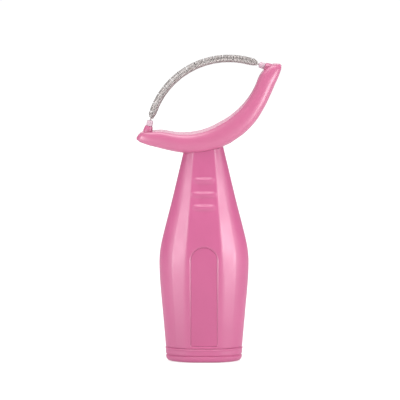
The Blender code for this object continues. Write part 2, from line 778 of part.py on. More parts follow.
def make_coil_run(index, material):
    """One straight run of turns; its wire starts where the run before it stops."""
    centre, axis, across = run_frame((index - (RUN_COUNT - 1) / 2) * RUN_SPAN)
    start_angle = index * RUN_TURN + RUN_END_ANGLE
    sweep = RUN_TURN - 2 * RUN_END_ANGLE
    steps = round(sweep / math.tau * TURN_STEPS)
    stations = []
    for step in range(steps + 1):
        angle = start_angle + sweep * step / steps
        distance = (angle - index * RUN_TURN) / math.tau * COIL_PITCH - (RUN_LENGTH - RUN_GAP) / 2
        stations.append((distance, COIL_RADIUS, angle))
    finish(wire(f"coil_run_{index + 1:02d}", centre, axis, across, stations, material))


def make_coil_end(name, side, material):
    """The cone at one end of the coil, drawn in around its spindle."""
    foot, axis, _ = post_frame(side)
    along = tuple(-side * part for part in axis)
    tip = CONE_START + WIRE_DIAMETER / 2
    join = END_RUN_TOP - END_GAP
    sweep = math.tau * (join - tip) / COIL_PITCH
    steps = round(sweep / math.tau * TURN_STEPS)
    stations = []
    for step in range(steps + 1):
        share = step / steps
        distance = tip + (join - tip) * share
        narrow = min((distance - tip) / CONE_LENGTH, 1.0)
        radius = CONE_SMALL_RADIUS + (COIL_RADIUS - CONE_SMALL_RADIUS) * narrow
        back = sweep * (1.0 - share) + RUN_END_ANGLE
        angle = -back if side < 0 else RUN_COUNT * RUN_TURN + back
        stations.append((-side * distance, radius, angle))
    finish(wire(name, foot, along, (0.0, -1.0, 0.0), stations, material))


def main():
    for obj in list(bpy.data.objects):
        bpy.data.objects.remove(obj)
    pink = make_material("pink_plastic", (0.66, 0.15, 0.33), 0.32)
    nylon = make_material("pale_nylon", (0.75, 0.55, 0.62), 0.4)
    spring_steel = make_material("spring_steel", (0.45, 0.44, 0.42), 0.28, 1.0)
    screw_steel = make_material("screw_steel", (0.5, 0.5, 0.5), 0.35, 1.0)
    make_front_shell(pink)
    make_rear_shell(pink)
    make_base_cap(pink)
    finish(inlay_solid("grip_inlay", 0.0, -INLAY_THICKNESS, 0.0, pink))
    make_screw("screw_upper", 0.0, UPPER_SCREW_Z, UPPER_SEAT, UPPER_SCREW_LENGTH, screw_steel)
    for side, word in ((-1, "left"), (1, "right")):
        x = side * LOWER_SCREW_X
        make_screw(f"screw_lower_{word}", x, LOWER_SCREW_Z, LOWER_SEAT, LOWER_SCREW_LENGTH, screw_steel)
    make_bow_hull(pink)
    make_deck_cover(pink)
    for side, word in ((-1, "left"), (1, "right")):
        make_bush(f"bush_{word}", side, nylon)
        make_spindle(f"spindle_{word}", side, spring_steel)
        make_retainer(f"retainer_{word}", side, spring_steel)
        make_coil_end(f"coil_end_{word}", side, spring_steel)
    for index in range(RUN_COUNT):
        make_coil_run(index, spring_steel)


main()
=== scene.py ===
"""Looks of the spring hair remover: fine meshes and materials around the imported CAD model.

Shapes are worked out in millimetres in the frame of the part, as in the CAD model, and scaled
to metres when a piece is made. Inside the handle the pieces are simpler than the CAD model: the
bow has no tang here, and the front shell has no screw bosses.
"""

import math

import bmesh
import bpy
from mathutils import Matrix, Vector


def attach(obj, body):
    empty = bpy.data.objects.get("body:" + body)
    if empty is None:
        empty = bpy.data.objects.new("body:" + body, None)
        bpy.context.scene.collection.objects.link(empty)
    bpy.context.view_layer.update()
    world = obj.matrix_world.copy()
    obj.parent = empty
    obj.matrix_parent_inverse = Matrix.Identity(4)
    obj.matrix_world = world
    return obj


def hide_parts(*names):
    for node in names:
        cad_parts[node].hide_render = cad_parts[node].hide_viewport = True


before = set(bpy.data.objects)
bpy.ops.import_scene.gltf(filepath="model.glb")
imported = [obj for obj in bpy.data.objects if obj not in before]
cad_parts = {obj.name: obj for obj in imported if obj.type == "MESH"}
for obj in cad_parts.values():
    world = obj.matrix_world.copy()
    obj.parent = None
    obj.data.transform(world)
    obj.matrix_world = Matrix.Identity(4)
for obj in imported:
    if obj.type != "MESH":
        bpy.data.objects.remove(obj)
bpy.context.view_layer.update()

MM = 0.001
MERGE_DISTANCE = 0.0015

# Handle outline: height, half width, front depth, rear depth, half width of the flat front face.
HANDLE_STATIONS = [
    (0.0, 18.2, 11.2, 10.5, 7.4),
    (7.0, 18.6, 11.6, 10.9, 7.7),
    (22.0, 19.9, 12.6, 11.8, 8.3),
    (38.0, 21.3, 13.1, 12.2, 8.8),
    (47.5, 21.75, 13.3, 12.4, 8.9),
    (53.0, 21.5, 13.2, 12.3, 8.8),
    (58.5, 20.6, 12.7, 11.9, 8.5),
    (68.0, 18.3, 11.4, 10.6, 7.7),
    (78.0, 15.75, 9.6, 9.0, 6.8),
    (90.0, 12.9, 7.6, 7.2, 5.8),
    (101.0, 10.3, 5.9, 5.7, 4.9),
    (112.0, 7.7, 4.9, 4.8, 4.1),
]
# Softness of the edge between facet and flat front: height, reach of the rounding.
EDGE_SOFTNESS = [(0.0, 3.6), (30.0, 3.0), (52.0, 1.6), (68.0, 0.9), (112.0, 0.7)]
FACET_AIM = 0.7
SHELL_WALL = 2.0
SHELL_GAP = 0.1
SHELL_BOTTOM = 7.06
SHELL_TOP = 107.0
PARTING_ROUND = 0.1
PARTING_FADE = 0.5
# Heights of a shell's lowest sections above its lower edge.
EDGE_STEPS = (0.0, 0.12, 0.3, 0.55)
# Lip inside the rear shell that laps past the parting line; it grows in over a short rise.
LIP_CLEARANCE = 0.25
LIP_THICKNESS = 0.6
LIP_OVERLAP = 0.8
LIP_START = 12.0
LIP_RISE = 0.6
LIP_LEAST = 0.03

BASE_HEIGHT = 7.0
BASE_STEP_HEIGHT = 3.4
BASE_FLOOR = 2.2
BASE_HOLLOW = 3.75
PLUG_TOP = 11.5
PLUG_INSET = 2.25
# Rounding under the foot: inset of its flat face, height and reach of the curve.
FOOT_FACE_INSET = 2.4
FOOT_ROUND_HEIGHT = 1.9
FOOT_ROUND_REACH = 2.2
FOOT_WAIST_HEIGHT = 5.2
# Groove around the foot: height from its middle, inset.
FOOT_GROOVE = [
    (-0.75, 0.1), (-0.62, 0.12), (-0.2, 0.5), (-0.06, 0.56),
    (0.04, 0.5), (0.14, 0.3), (0.4, 0.12), (0.8, 0.02),
]
# Upper edge of the foot: height from its top, inset.
FOOT_EDGE = [
    (-1.1, -0.03), (-0.85, -0.2), (-0.68, -0.28), (-0.56, -0.25),
    (-0.16, 0.14), (-0.05, 0.3), (0.0, 0.45),
]

INLAY_HALF_WIDTH = 6.35
INLAY_BOTTOM = 8.2
INLAY_ARCH = 50.55
INLAY_GAP = 0.1
INLAY_THICKNESS = 1.0
INLAY_PAIRS = 60
INLAY_SINK = 0.38
INLAY_ROUND = 0.1
RAMP_WIDTH = 0.75
# The pocket's sloping mouth: share of the ramp's width, share of the inlay's sink.
RAMP_SECTION = [(0.04, 0.98), (0.2, 0.8), (0.6, 0.36), (0.8, 0.14), (0.92, 0.04), (1.0, 0.0), (1.1, -0.05)]

RIBS = {90.3: 5.4, 83.5: 6.3, 77.3: 5.9}
RIB_HEIGHT = 1.05
RIB_DROP = 0.55
RIB_ABOVE = 1.05
RIB_BELOW = 2.2
RIB_ZONE = (73.0, 95.0)
DISH_CENTRE = 83.8
DISH_DEPTH = 0.3
DISH_HALF_HEIGHT = 11.5
DISH_HALF_WIDTH = 6.2

# Screws driven from the rear: x, height, seat of the head, length.
SCREWS = {
    "screw_upper": (0.0, 94.0, 4.4, 9.6),
    "screw_lower_left": (-10.0, 30.0, 6.4, 14.5),
    "screw_lower_right": (10.0, 30.0, 6.4, 14.5),
}
SCREW_RADIUS = 1.25
SCREW_THREAD_DEPTH = 0.22
SCREW_THREAD_PITCH = 1.0
SCREW_HEAD_RADIUS = 2.5
SCREW_HEAD_HEIGHT = 1.5
SCREW_BORE_RADIUS = 2.8
SCREW_CLEAR_RADIUS = 1.6
HEAD_SIDE_SHARE = 0.4
HEAD_EDGE_ROUND = 0.12
RECESS_REACH = 1.4
RECESS_HALF_WIDTH = 0.3
RECESS_DEPTH = 1.0
BOSS_RADIUS = 4.0
BOSS_TIP_RADIUS = 3.2
BOSS_TIP_HEIGHT = 0.8
LOWER_BOSS_TOP = 9.2
UPPER_BOSS_START = 2.45
UPPER_BOSS_RISE = 0.2

# Frame of the bow: u runs along its chord, v towards the coil, y stays the depth axis.
HEAD_HEIGHT = 132.5
HEAD_TILT = math.radians(27.5)
DECK_RADIUS = 38.4
DECK_CENTRE_V = 20.6
# Inner face past its arc, under the posts: distance along the chord, height right, height left.
DECK_TIPS = [
    (24.0, -9.38, -10.17),
    (27.0, -6.75, -7.95),
    (30.0, -4.95, -6.5),
    (33.0, -4.2, -5.2),
    (35.4, -3.9, -4.3),
    (37.4, -4.4, -4.35),
    (38.8, -5.2, -5.1),
]
BOW_SHIFT_U = -0.5
BOW_TIP_U = 38.8
# The left arm hangs a little lower than the right one, at its keel and at its inner face.
KEEL_SAG = 1.2
DECK_SAG = 0.85
# Right half of the bow, middle to tip: deck u, keel u, keel v, half depth.
BOW_STATIONS = [
    (0.0, 0.0, -28.7, 8.2),
    (6.6, 8.4, -27.5, 8.1),
    (13.0, 16.2, -24.8, 7.8),
    (19.2, 23.2, -20.6, 7.2),
    (24.7, 28.9, -16.3, 6.5),
    (29.2, 32.8, -13.1, 5.7),
    (32.5, 35.5, -11.0, 5.0),
    (35.6, 37.6, -9.1, 4.1),
    (37.6, 38.9, -7.8, 3.1),
    (38.8, 39.4, -6.7, 1.9),
]
# Section of the bow from rim to keel: share of the half depth, share of the thickness.
BOW_SECTION = [
    (0.72, 0.0), (0.84, 0.07), (0.93, 0.17), (0.985, 0.30), (1.0, 0.44), (0.985, 0.58),
    (0.93, 0.71), (0.82, 0.83), (0.64, 0.92), (0.38, 0.98), (0.0, 1.0),
]
BOW_SPACING = 1.1
BOW_WALL = 1.5
BOW_SIDE_WALL = 2.6
RIM_WIDTH = 0.8
COVER_THICKNESS = 1.1
COVER_GAP = 0.2
COVER_SIDE_GAP = 0.08
COVER_END_U = 36.4
CAVITY_FADE_U = 35.6
CAVITY_END_U = 36.3
NECK_GAP = 0.1
TIP_DOME_HEIGHT = 0.55
TIP_LEAST_SHARE = 0.16

# Coil: close-wound wire on an arc, its two ends drawn in to cones around the spindles.
COIL_ARC_RADIUS = 39.0
COIL_CENTRE_V = -26.1
COIL_END_ANGLE = math.radians(48.0)
WIRE_RADIUS = 0.3
COIL_RADIUS = 1.65
COIL_PITCH = 0.68
RUN_COUNT = 13
RUN_GAP = 0.14
END_GAP = 0.12
RUN_END_ANGLE = math.radians(3.0)
TURN_STEPS = 28
WIRE_SIDES = 12
WIRE_TIP_SHARE = 0.8

# Distances along a post's axis, from the deck towards the coil.
DECK_TO_ARC = 6.6
POST_BOTTOM = -0.9
POST_TOP = 2.5
POST_ROOT_RADIUS = 2.25
POST_TOP_RADIUS = 1.9
POST_BORE_RADIUS = 1.25
BUSH_BOTTOM = -2.3
BUSH_SHOULDER = 2.65
BUSH_TOP = 5.4
BUSH_STEM_RADIUS = 1.1
BUSH_RADIUS = 1.6
BUSH_BORE_RADIUS = 0.52
SPINDLE_BOTTOM = -3.6
SPINDLE_RADIUS = 0.4
SPINDLE_HEAD_BOTTOM = 8.4
SPINDLE_HEAD_TOP = 9.3
SPINDLE_HEAD_RADIUS = 1.0
RETAINER_BOTTOM = -3.3
RETAINER_TOP = -2.9
RETAINER_RADIUS = 0.95
RETAINER_BORE_RADIUS = 0.45
CONE_START = 6.2
CONE_LENGTH = 2.3
CONE_SMALL_RADIUS = 0.82
END_RUN_TOP = 9.4

END_REACH = END_RUN_TOP - DECK_TO_ARC
RUN_SPAN = 2 * (COIL_END_ANGLE - END_REACH / COIL_ARC_RADIUS) / RUN_COUNT
RUN_LENGTH = 2 * COIL_ARC_RADIUS * math.sin(RUN_SPAN / 2)
RUN_TURN = math.tau * (RUN_LENGTH - RUN_GAP) / COIL_PITCH

# View: the camera looks along +Y, a little down.
VIEW_CENTRE = Vector((-1.95, 0.0, 78.7)) * MM
VIEW_ELEVATION = math.radians(8.0)
VIEW_DISTANCE = 1.2
VIEW_WIDTH = 0.1948

# Soft boxes: azimuth and elevation in degrees, distance, width and height in metres, watts.
SOFT_BOXES = {
    "left_box": (-55.0, 0.0, 0.28, 0.09, 0.15, 0.46),
    "right_box": (55.0, 0.0, 0.28, 0.09, 0.15, 0.56),
    "top_box": (0.0, 78.0, 0.60, 0.50, 0.30, 2.7),
    "back_box": (180.0, 22.0, 0.90, 1.00, 0.40, 2.2),
}
FLOOR_HALF_SIDE = 6.0
FLOOR_DROP = 0.0002
# Glow of the floor towards the object, and as the camera sees it.
FLOOR_GLOW = 0.42
FLOOR_GLOW_SEEN = 0.74
DOME_LOW = (0.16, 0.15, 0.155, 1.0)
DOME_HIGH = (0.75, 0.74, 0.745, 1.0)


# -------- materials

class Nodes:
    """Short calls for building a material's node tree."""

    def __init__(self, material):
        self.tree = material.node_tree
        self.shader = self.tree.nodes["Principled BSDF"]
        self.place = self.tree.nodes.new("ShaderNodeTexCoord").outputs["Object"]

    def link(self, source, target):
        self.tree.links.new(source, target)

    def stretched(self, scale):
        mapping = self.tree.nodes.new("ShaderNodeMapping")
        mapping.inputs["Scale"].default_value = scale
        self.link(self.place, mapping.inputs["Vector"])
        return mapping.outputs["Vector"]

    def noise(self, scale, detail=3.0, place=None):
        noise = self.tree.nodes.new("ShaderNodeTexNoise")
        noise.inputs["Scale"].default_value = scale
        noise.inputs["Detail"].default_value = detail
        self.link(place or self.place, noise.inputs["Vector"])
        return noise.outputs["Fac"]

    def spread(self, value, low, high, start=0.3, end=0.7):
        """Maps a noise value to a range."""
        remap = self.tree.nodes.new("ShaderNodeMapRange")
        remap.interpolation_type = "SMOOTHSTEP"
        for name, number in (("From Min", start), ("From Max", end), ("To Min", low), ("To Max", high)):
            remap.inputs[name].default_value = number
        self.link(value, remap.inputs["Value"])
        return remap.outputs["Result"]

    def mix_colour(self, factor, low, high):
        """Mixes two colours; each is a tuple or another node's colour."""
        mix = self.tree.nodes.new("ShaderNodeMix")
        mix.data_type = "RGBA"
        self.link(factor, mix.inputs["Factor"])
        for socket, colour in ((mix.inputs[6], low), (mix.inputs[7], high)):
            if isinstance(colour, tuple):
                socket.default_value = (*colour, 1.0)
            else:
                self.link(colour, socket)
        return mix.outputs[2]

    def bump(self, height, depth, strength=1.0, under=None):
        """Adds relief of a depth in metres on top of another bump."""
        bump = self.tree.nodes.new("ShaderNodeBump")
        bump.inputs["Strength"].default_value = strength
        bump.inputs["Distance"].default_value = depth
        self.link(height, bump.inputs["Height"])
        if under:
            self.link(under, bump.inputs["Normal"])
        return bump.outputs["Normal"]


def tone(colour, factor):
    """A lighter or darker version of a colour."""
    return tuple(min(channel * factor, 1.0) for channel in colour)


def new_material(name):
    material = bpy.data.materials.new(name)
    material.use_nodes = True
    return material, Nodes(material)


def plastic(name, colour, roughness, grain=1.0, coat=0.0):
    """Moulded plastic: faint flow marks, a fine spark-eroded grain and soft handling marks."""
    material, nodes = new_material(name)
    shader = nodes.shader
    clouds = nodes.noise(45.0, 3.0)
    flow = nodes.noise(1.0, 1.0, nodes.stretched((70.0, 70.0, 18.0)))
    pigment = nodes.mix_colour(nodes.spread(clouds, 0.0, 1.0), tone(colour, 0.97), tone(colour, 1.03))
    pigment = nodes.mix_colour(nodes.spread(flow, 0.0, 0.4, 0.1, 0.9), pigment, tone(colour, 1.05))
    nodes.link(pigment, shader.inputs["Base Color"])
    smears = nodes.noise(1.0, 3.0, nodes.stretched((260.0, 260.0, 90.0)))
    nodes.link(nodes.spread(smears, roughness - 0.03, roughness + 0.04), shader.inputs["Roughness"])
    relief = nodes.bump(nodes.noise(160.0, 1.0), 0.00004, 0.2)
    relief = nodes.bump(nodes.noise(4200.0, 2.0), 0.000008, grain, relief)
    nodes.link(relief, shader.inputs["Normal"])
    shader.inputs["IOR"].default_value = 1.5
    shader.inputs["Specular IOR Level"].default_value = 0.8
    shader.inputs["Coat Weight"].default_value = coat
    shader.inputs["Coat Roughness"].default_value = 0.4
    return material


def nylon(name, colour):
    """Pale translucent bearing plastic, turned smooth, with cloudy flow marks."""
    material, nodes = new_material(name)
    shader = nodes.shader
    clouds = nodes.noise(300.0, 2.0)
    nodes.link(
        nodes.mix_colour(nodes.spread(clouds, 0.0, 1.0), tone(colour, 0.9), tone(colour, 1.06)),
        shader.inputs["Base Color"],
    )
    nodes.link(nodes.spread(nodes.noise(700.0, 2.0), 0.3, 0.42), shader.inputs["Roughness"])
    nodes.link(nodes.bump(nodes.noise(1500.0, 1.0), 0.000006, 0.5), shader.inputs["Normal"])
    shader.inputs["Subsurface Weight"].default_value = 0.12
    shader.inputs["Subsurface Radius"].default_value = (1.0, 0.6, 0.7)
    shader.inputs["Subsurface Scale"].default_value = 0.0012
    return material


def steel(name, colour, roughness, streaks):
    """Drawn or turned steel: fine die lines, uneven polish and a little tarnish in the low spots."""
    material, nodes = new_material(name)
    shader = nodes.shader
    lines = nodes.noise(1.0, 4.0, nodes.stretched(streaks))
    tarnish = nodes.noise(700.0, 4.0)
    surface = nodes.mix_colour(nodes.spread(lines, 0.0, 1.0), tone(colour, 0.92), tone(colour, 1.06))
    brown = (colour[0] * 0.7, colour[1] * 0.58, colour[2] * 0.5)
    surface = nodes.mix_colour(nodes.spread(tarnish, 0.0, 0.5, 0.5, 0.8), surface, brown)
    nodes.link(surface, shader.inputs["Base Color"])
    nodes.link(nodes.spread(lines, roughness - 0.05, roughness + 0.07), shader.inputs["Roughness"])
    nodes.link(nodes.bump(lines, 0.000004, 0.5), shader.inputs["Normal"])
    shader.inputs["Metallic"].default_value = 1.0
    return material


# -------- mesh helpers

def blend(table, key):
    """Reads a table of rows sorted by their first value, by a smooth curve through the rows."""
    last = len(table) - 1
    index = max(i for i in range(last) if table[i][0] <= max(key, table[0][0]))
    span = table[index + 1][0] - table[index][0]
    share = (key - table[index][0]) / span
    before = table[max(index - 1, 0)]
    low = table[index]
    high = table[index + 1]
    after = table[min(index + 2, last)]
    values = []
    for column in range(1, len(low)):
        rise_low = (high[column] - before[column]) / (high[0] - before[0]) * span
        rise_high = (after[column] - low[column]) / (after[0] - low[0]) * span
        values.append(
            low[column] * (2 * share**3 - 3 * share**2 + 1)
            + rise_low * (share**3 - 2 * share**2 + share)
            + high[column] * (3 * share**2 - 2 * share**3)
            + rise_high * (share**3 - share**2)
        )
    return values


def curve_through(points, steps):
    """Refines an open line by a smooth curve through its points."""
    last = len(points) - 1
    refined = []
    for index in range(last):
        before = points[max(index - 1, 0)]
        after = points[min(index + 2, last)]
        for step in range(steps):
            t = step / steps
            refined.append(tuple(
                0.5 * (
                    2 * b + (c - a) * t
                    + (2 * a - 5 * b + 4 * c - d) * t**2
                    + (3 * b - a - 3 * c + d) * t**3
                )
                for a, b, c, d in zip(before, points[index], points[index + 1], after)
            ))
    refined.append(tuple(points[last]))
    return refined


def smooth(share):
    """Eases a share from 0 to 1."""
    share = min(max(share, 0.0), 1.0)
    return share * share * (3.0 - 2.0 * share)


def steps_between(low, high, spacing):
    """Evenly spaced values from low to high, about a spacing apart."""
    count = max(round((high - low) / spacing), 1)
    return [low + (high - low) * index / count for index in range(count + 1)]


def add_object(name, data):
    """Adds a mesh, a light or a camera to the scene."""
    obj = bpy.data.objects.new(name, data)
    bpy.context.scene.collection.objects.link(obj)
    return obj


def new_object(name, points, faces):
    """Makes a mesh object with its faces pointing out."""
    mesh = bpy.data.meshes.new(name)
    mesh.from_pydata(points, [], faces)
    shape = bmesh.new()
    shape.from_mesh(mesh)
    bmesh.ops.recalc_face_normals(shape, faces=shape.faces)
    shape.to_mesh(mesh)
    shape.free()
    return add_object(name, mesh)


def end_faces(start, count, pairs):
    """Closes a ring; one with mirrored pairs of points is closed by strips from side to side."""
    if not pairs:
        return [tuple(range(start, start + count))]
    mirror = start + 2 * pairs
    faces = [(start + row, start + row + 1, mirror - row - 1, mirror - row) for row in range(1, pairs - 1)]
    faces.append((start + pairs - 1, start + pairs, start + pairs + 1))
    faces.append((start, start + 1, *range(mirror - 1, start + count)))
    return faces


def loft(name, rings, pairs=0):
    """Skins a row of equal rings and closes both ends."""
    count = len(rings[0])
    points = [point for ring in rings for point in ring]
    faces = []
    for row in range(len(rings) - 1):
        for column in range(count):
            here = row * count + column
            beside = row * count + (column + 1) % count
            faces.append((here, beside, beside + count, here + count))
    faces += end_faces(0, count, pairs) + end_faces((len(rings) - 1) * count, count, pairs)
    return new_object(name, points, faces)


def turned(name, start, axis, across, profile, sides=48):
    """Turns a profile of (distance along the axis, radius) pairs; radius 0 closes it on the axis."""
    start, axis, across = Vector(start), Vector(axis), Vector(across)
    other = axis.cross(across)
    points = []
    rows = []
    for distance, radius in profile:
        centre = start + axis * distance
        if radius == 0:
            rows.append([len(points)] * sides)
            points.append(centre)
            continue
        rows.append(list(range(len(points), len(points) + sides)))
        for step in range(sides):
            angle = math.tau * step / sides
            points.append(centre + (across * math.cos(angle) + other * math.sin(angle)) * radius)
    closed = profile[0][1] != 0 or profile[-1][1] != 0
    faces = []
    for index in range(len(rows) if closed else len(rows) - 1):
        low = rows[index]
        high = rows[(index + 1) % len(rows)]
        for step in range(sides):
            after = (step + 1) % sides
            faces.append(tuple(dict.fromkeys([low[step], low[after], high[after], high[step]])))
    return new_object(name, points, faces)


def rounded(profile, reach, steps=4):
    """Rounds the inner corners of an open profile of (distance, radius) pairs."""
    smoothed = [profile[0]]
    for before, corner, after in zip(profile, profile[1:], profile[2:]):
        ends = []
        for other in (before, after):
            length = math.dist(corner, other)
            cut = min(reach, length * 0.45) / length
            ends.append(tuple(c + (o - c) * cut for c, o in zip(corner, other)))
        for step in range(steps + 1):
            t = step / steps
            smoothed.append(tuple(
                a * (1 - t) ** 2 + c * 2 * t * (1 - t) + b * t**2 for a, c, b in zip(ends[0], corner, ends[1])
            ))
    smoothed.append(profile[-1])
    return smoothed


def combine(target, operation, *tools):
    """Applies one exact Boolean with all the tools, which don't touch each other, and removes them."""
    together = bmesh.new()
    for tool in tools:
        together.from_mesh(tool.data)
        bpy.data.objects.remove(tool)
    mesh = bpy.data.meshes.new("Tools")
    together.to_mesh(mesh)
    together.free()
    tool = add_object("Tools", mesh)
    modifier = target.modifiers.new("Combine", "BOOLEAN")
    modifier.solver = "EXACT"
    modifier.operation = operation
    modifier.object = tool
    graph = bpy.context.evaluated_depsgraph_get()
    mesh = bpy.data.meshes.new_from_object(target.evaluated_get(graph))
    target.modifiers.clear()
    target.data = mesh
    bpy.data.objects.remove(tool)


def finish_piece(obj, material, body, slot, *nodes, angle=32.0):
    """Scales a piece to metres, shades it, ties it to its body and hides its CAD nodes; the slot is not used.
    """
    shape = bmesh.new()
    shape.from_mesh(obj.data)
    bmesh.ops.remove_doubles(shape, verts=shape.verts, dist=MERGE_DISTANCE)
    bmesh.ops.dissolve_degenerate(shape, edges=shape.edges, dist=MERGE_DISTANCE)
    bmesh.ops.delete(shape, geom=[edge for edge in shape.edges if not edge.link_faces], context="EDGES")
    bmesh.ops.delete(shape, geom=[point for point in shape.verts if not point.link_edges], context="VERTS")
    bmesh.ops.scale(shape, vec=(MM, MM, MM), verts=shape.verts)
    shape.to_mesh(obj.data)
    shape.free()
    obj.data.materials.clear()
    obj.data.materials.append(material)
    obj.data.shade_smooth()
    obj.data.set_sharp_from_angle(angle=math.radians(angle))
    weighted = obj.modifiers.new("Even shading", "WEIGHTED_NORMAL")
    weighted.keep_sharp = True
    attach(obj, body)
    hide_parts(*nodes)
    return obj


# -------- handle

def mirrored(half):
    """Completes a half outline that ends on the centre line."""
    return half + [(-x, y) for x, y in reversed(half[:-1])]


def inset(points, distance):
    """Moves an open outline inwards along its normals; its end points stay on the split plane."""
    moved = []
    for index, (x, y) in enumerate(points):
        if index in (0, len(points) - 1):
            moved.append((x - math.copysign(distance, x), y))
            continue
        run_x = points[index + 1][0] - points[index - 1][0]
        run_y = points[index + 1][1] - points[index - 1][1]
        length = math.hypot(run_x, run_y)
        normal_x = run_y / length
        normal_y = -run_x / length
        if normal_x * x + normal_y * y > 0:
            normal_x = -normal_x
            normal_y = -normal_y
        moved.append((x + normal_x * distance, y + normal_y * distance))
    return moved


def front_outline(height):
    """Front of the handle from +X to -X: rounded sides, slanted facets and a flat middle."""
    width, front, _, flat = blend(HANDLE_STATIONS, height)
    side = [
        (width, 0.0),
        (width * 0.985, front * 0.17),
        (width * 0.945, front * 0.34),
        (width * 0.88, front * 0.50),
        (width * 0.80, front * 0.63),
        (width * 0.71, front * 0.74),
    ]
    facet_x, facet_y = side[-1]
    slope = (flat + FACET_AIM - facet_x) / (front * 0.955 - facet_y)
    corner_x = flat + FACET_AIM + slope * front * 0.045
    length = math.hypot(facet_x - corner_x, facet_y - front)
    soft = blend(EDGE_SOFTNESS, height)[0]
    near = soft / length
    near_x = corner_x + (facet_x - corner_x) * near
    near_y = front + (facet_y - front) * near
    half = curve_through(side, 4)
    half += [
        (facet_x + (near_x - facet_x) * step / 4, facet_y + (near_y - facet_y) * step / 4)
        for step in range(1, 4)
    ]
    for step in range(9):
        t = step / 8
        half.append((
            near_x * (1 - t) ** 2 + corner_x * 2 * t * (1 - t) + (corner_x - soft) * t**2,
            near_y * (1 - t) ** 2 + front * (1 - (1 - t) ** 2),
        ))
    flat_end = half[-1][0]
    half += [(flat_end * (1 - step / 14), front) for step in range(1, 15)]
    return [(x, -y) for x, y in mirrored(half)]


def rear_outline(height):
    """Rear of the handle from +X to -X, one full rounded curve."""
    width, _, rear, _ = blend(HANDLE_STATIONS, height)
    half = []
    for step in range(33):
        angle = math.pi / 2 * step / 32
        half.append((width * math.cos(angle) ** 0.8, rear * math.sin(angle) ** 0.8))
    half[-1] = (0.0, rear)
    return mirrored(half)


def thumb_relief(x, height):
    """How far the thumb rest stands out of the front face: three ribs in a shallow dish."""
    across = math.hypot(x / DISH_HALF_WIDTH, (height - DISH_CENTRE) / DISH_HALF_HEIGHT)
    relief = -DISH_DEPTH * smooth((1.0 - across) * 1.6)
    for rib_height, half_width in RIBS.items():
        rise = height - rib_height + RIB_DROP
        level = rise / RIB_ABOVE if rise > 0 else -rise / RIB_BELOW
        reach = abs(x) / half_width
        if level < 1.0 and reach < 1.0:
            relief += RIB_HEIGHT * math.cos(math.pi / 2 * level) ** 1.2 * (1.0 - reach**2)
    return relief


def lapped(inner, height):
    """Adds the lip to both ends of the rear shell's inner line; it fades out above the foot's plug."""
    reach = max(smooth((height - LIP_START) / LIP_RISE), LIP_LEAST)
    edge = inner[0][0]
    near = edge - LIP_CLEARANCE * reach
    far = near - LIP_THICKNESS * reach
    lip = [(near, 0.0), (near, -LIP_OVERLAP * reach), (far, -LIP_OVERLAP * reach), (far, LIP_OVERLAP * reach)]
    return [inner[0]] + lip + inner[1:-1] + [(-x, y) for x, y in reversed(lip)] + [inner[-1]]


def make_wall(name, outline, side, heights):
    """One half of the handle as a C-shaped wall."""
    rings = []
    for height in heights:
        edge = PARTING_ROUND * (1.0 - smooth((height - heights[0]) / PARTING_FADE))
        outer = outline(height)
        inner = inset(outer, SHELL_WALL)[::4]
        if edge > 0:
            outer = inset(outer, edge)
        ring = []
        for x, y in outer:
            lift = thumb_relief(x, height) if side < 0 and abs(x) < DISH_HALF_WIDTH + 0.5 else 0.0
            ring.append((x, y + side * (SHELL_GAP + lift), height))
        if side > 0:
            inner = lapped(inner, height)
        ring += [(x, y + side * SHELL_GAP, height) for x, y in reversed(inner)]
        rings.append(ring)
    return loft(name, rings)


def front_depth(height):
    """Distance from the split plane to the flat front face."""
    return blend(HANDLE_STATIONS, height)[1] + SHELL_GAP


def inlay_outline(grow):
    """The U-shaped outline of the inlay, grown on every side, as (x, height) points."""
    half = INLAY_HALF_WIDTH + grow
    bottom = INLAY_BOTTOM - grow
    corner = max(0.8 + grow, 0.05)
    right = []
    for step in range(7):
        angle = math.pi / 2 * step / 6
        right.append((half - corner + corner * math.sin(angle), bottom + corner - corner * math.cos(angle)))
    start = bottom + corner
    right += [(half, start + (INLAY_ARCH - start) * step / 30) for step in range(1, 30)]
    for step in range(24):
        angle = math.pi / 2 * step / 24
        right.append((half * math.cos(angle), INLAY_ARCH + half * math.sin(angle)))
    left = [(-x, height) for x, height in reversed(right)]
    foot = [((half - corner) * (step / 5 * 2 - 1), bottom) for step in range(1, 5)]
    return right + [(0.0, INLAY_ARCH + half)] + left + foot


def inlay_body(name, profile):
    """A plate along the front face from (growth of the outline, height over the face) pairs."""
    rings = []
    for grow, level in profile:
        rings.append([(x, -front_depth(height) - level, height) for x, height in inlay_outline(grow)])
    return loft(name, rings, INLAY_PAIRS)


def make_inlay(material):
    """Soft-edged plate in the pocket, a hair under the face around it."""
    profile = [(0.0, -INLAY_THICKNESS), (0.0, -INLAY_SINK - INLAY_ROUND)]
    for step in range(1, 4):
        angle = math.pi / 2 * step / 3
        inwards = INLAY_ROUND * (math.cos(angle) - 1.0)
        profile.append((inwards, -INLAY_SINK - INLAY_ROUND * (1.0 - math.sin(angle))))
    profile += [(-reach, -INLAY_SINK) for reach in (0.4, 0.75)]
    plate = inlay_body("inlay_plate", profile)
    return finish_piece(plate, material, "frame", "inlay_plastic", "grip_inlay")


def make_pocket():
    """The pocket's cutter: it flares at the mouth, which leaves a rounded lip."""
    profile = [(INLAY_GAP, -INLAY_THICKNESS - 0.2), (INLAY_GAP, -INLAY_SINK - 0.05)]
    for share, drop in RAMP_SECTION:
        profile.append((INLAY_GAP + RAMP_WIDTH * share, -INLAY_SINK * drop))
    profile.append((INLAY_GAP + RAMP_WIDTH + 0.2, 1.4))
    return inlay_body("Pocket", profile)


